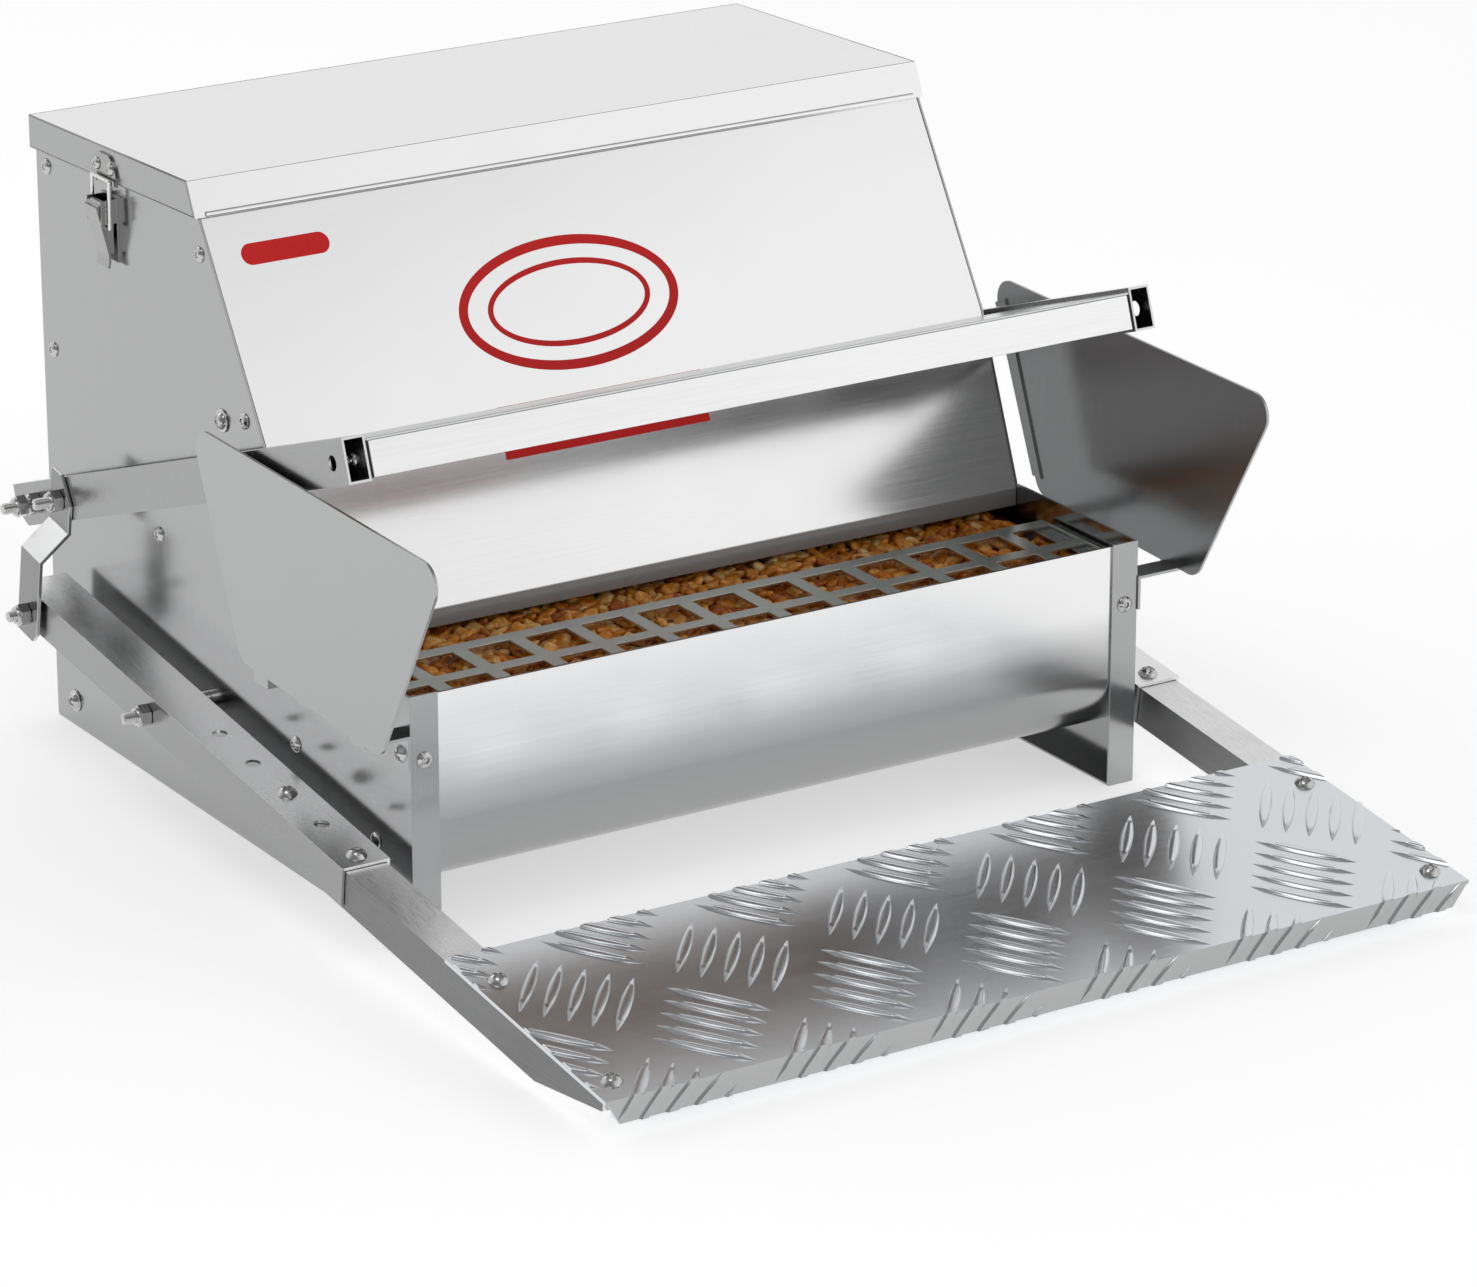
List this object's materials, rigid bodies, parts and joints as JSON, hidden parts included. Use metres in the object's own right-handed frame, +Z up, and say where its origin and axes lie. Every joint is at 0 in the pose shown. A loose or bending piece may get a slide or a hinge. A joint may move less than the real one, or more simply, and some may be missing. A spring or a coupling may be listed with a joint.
{
  "type": "treadle poultry feeder",
  "caption": "Sheet-metal poultry feeder: a bird standing on the treadle raises the trough cover; the hopper's lid is held by toggle latches.",
  "frame": {"origin": "on the ground under the middle of the whole feeder, treadle pressed and cover raised", "axes": "+X across to the right seen from the bird's side, +Y back from treadle to hopper, +Z up"},
  "size_m": [0.5124, 0.607, 0.3275],
  "materials": {
    "body_sheet": "satin galvanised",
    "grille_steel": "satin zinc",
    "cover_steel": "brushed",
    "channel_steel": "satin galvanised",
    "tread_plate": "bright, five-bar pattern",
    "zinc_fixings": "bright zinc",
    "latch_steel": "bright zinc",
    "black_plastic": "matt",
    "red_label": "smooth",
    "grain": "dry grain"
  },
  "bodies": {
    "hopper": {"side_panel_left": "body_sheet", "side_panel_right": "body_sheet", "rear_panel": "body_sheet", "hopper_front": "body_sheet", "label_plate": "red_label", "trough_ramp": "body_sheet", "feed_baffle": "body_sheet", "trough_grille": "grille_steel", "grille_rails": "body_sheet", "feed": "grain", "body_rivets": "zinc_fixings", "panel_screws": "zinc_fixings", "panel_washers": "zinc_fixings", "guard_left": "body_sheet", "guard_right": "body_sheet", "guard_screws": "zinc_fixings", "latch_base_left": "latch_steel", "latch_base_right": "latch_steel", "latch_pins": "zinc_fixings", "cover_pivot_bolts": "zinc_fixings", "cover_pivot_spacers": "zinc_fixings", "cover_pivot_nuts": "zinc_fixings", "treadle_pivot_bolts": "zinc_fixings", "treadle_pivot_spacers": "zinc_fixings", "treadle_pivot_nuts": "zinc_fixings"},
    "lid": {"lid": "body_sheet", "latch_catch_left": "latch_steel", "latch_catch_right": "latch_steel", "catch_rivets": "zinc_fixings"},
    "latch_lever_left": {"latch_lever_left": "latch_steel"},
    "latch_lever_right": {"latch_lever_right": "latch_steel"},
    "latch_bail_left": {"latch_bail_left": "latch_steel"},
    "latch_bail_right": {"latch_bail_right": "latch_steel"},
    "cover": {"cover_arm_left": "cover_steel", "cover_arm_right": "cover_steel", "crossbar": "cover_steel", "crossbar_end_caps": "black_plastic", "crossbar_screws": "zinc_fixings", "cover_plate": "cover_steel", "link_top_bolts": "zinc_fixings", "link_top_nuts": "zinc_fixings"},
    "treadle": {"treadle_channel_left": "channel_steel", "treadle_channel_right": "channel_steel", "treadle_tube_left": "cover_steel", "treadle_tube_right": "cover_steel", "treadle_plate": "tread_plate", "channel_screws": "zinc_fixings", "plate_screws": "zinc_fixings", "link_bottom_bolts": "zinc_fixings", "link_bottom_nuts": "zinc_fixings", "link_spacers": "zinc_fixings"},
    "link_left": {"link_left": "channel_steel"},
    "link_right": {"link_right": "channel_steel"}
  },
  "joints": [
    {"name": "treadle_pivot", "type": "hinge", "parent": "hopper", "child": "treadle", "pos_m": [0, 0.131, 0.061], "axis": [1, 0, 0], "range_deg": [-4.09, 0]},
    {"name": "cover_pivot", "type": "hinge", "parent": "hopper", "child": "cover", "pos_m": [0, 0.274, 0.127], "axis": [1, 0, 0], "range_deg": [0, 17.21]},
    {"name": "link_left_pivot", "type": "hinge", "parent": "treadle", "child": "link_left", "pos_m": [-0.2442, 0.255, 0.0765], "axis": [1, 0, 0], "range_deg": [0, 6.51]},
    {"name": "link_right_pivot", "type": "hinge", "parent": "treadle", "child": "link_right", "pos_m": [0.2442, 0.255, 0.0765], "axis": [1, 0, 0], "range_deg": [0, 6.51]},
    {"name": "lid_lift", "type": "slide", "parent": "hopper", "child": "lid", "axis": [0, 0, 1], "range_m": [0, 0.045]},
    {"name": "latch_lever_left_pivot", "type": "hinge", "parent": "hopper", "child": "latch_lever_left", "pos_m": [-0.215, 0.219, 0.295], "axis": [0, 1, 0], "range_deg": [0, 150.01]},
    {"name": "latch_lever_right_pivot", "type": "hinge", "parent": "hopper", "child": "latch_lever_right", "pos_m": [0.215, 0.219, 0.295], "axis": [0, -1, 0], "range_deg": [0, 150.01]},
    {"name": "latch_bail_left_pivot", "type": "hinge", "parent": "latch_lever_left", "child": "latch_bail_left", "pos_m": [-0.2134, 0.219, 0.285], "axis": [0, 1, 0], "range_deg": [-250.01, 0]},
    {"name": "latch_bail_right_pivot", "type": "hinge", "parent": "latch_lever_right", "child": "latch_bail_right", "pos_m": [0.2134, 0.219, 0.285], "axis": [0, -1, 0], "range_deg": [-250.01, 0]}
  ],
  "couplings": [
    {"joint": "cover_pivot", "follows": "treadle_pivot", "ratio": -4.2085},
    {"joint": "link_left_pivot", "follows": "treadle_pivot", "ratio": -1.5915},
    {"joint": "link_right_pivot", "follows": "treadle_pivot", "ratio": -1.5915},
    {"joint": "latch_lever_left_pivot", "follows": "lid_lift", "rad_per_m": 58.178},
    {"joint": "latch_lever_right_pivot", "follows": "lid_lift", "rad_per_m": 58.178},
    {"joint": "latch_bail_left_pivot", "follows": "lid_lift", "rad_per_m": -96.963},
    {"joint": "latch_bail_right_pivot", "follows": "lid_lift", "rad_per_m": -96.963}
  ]
}
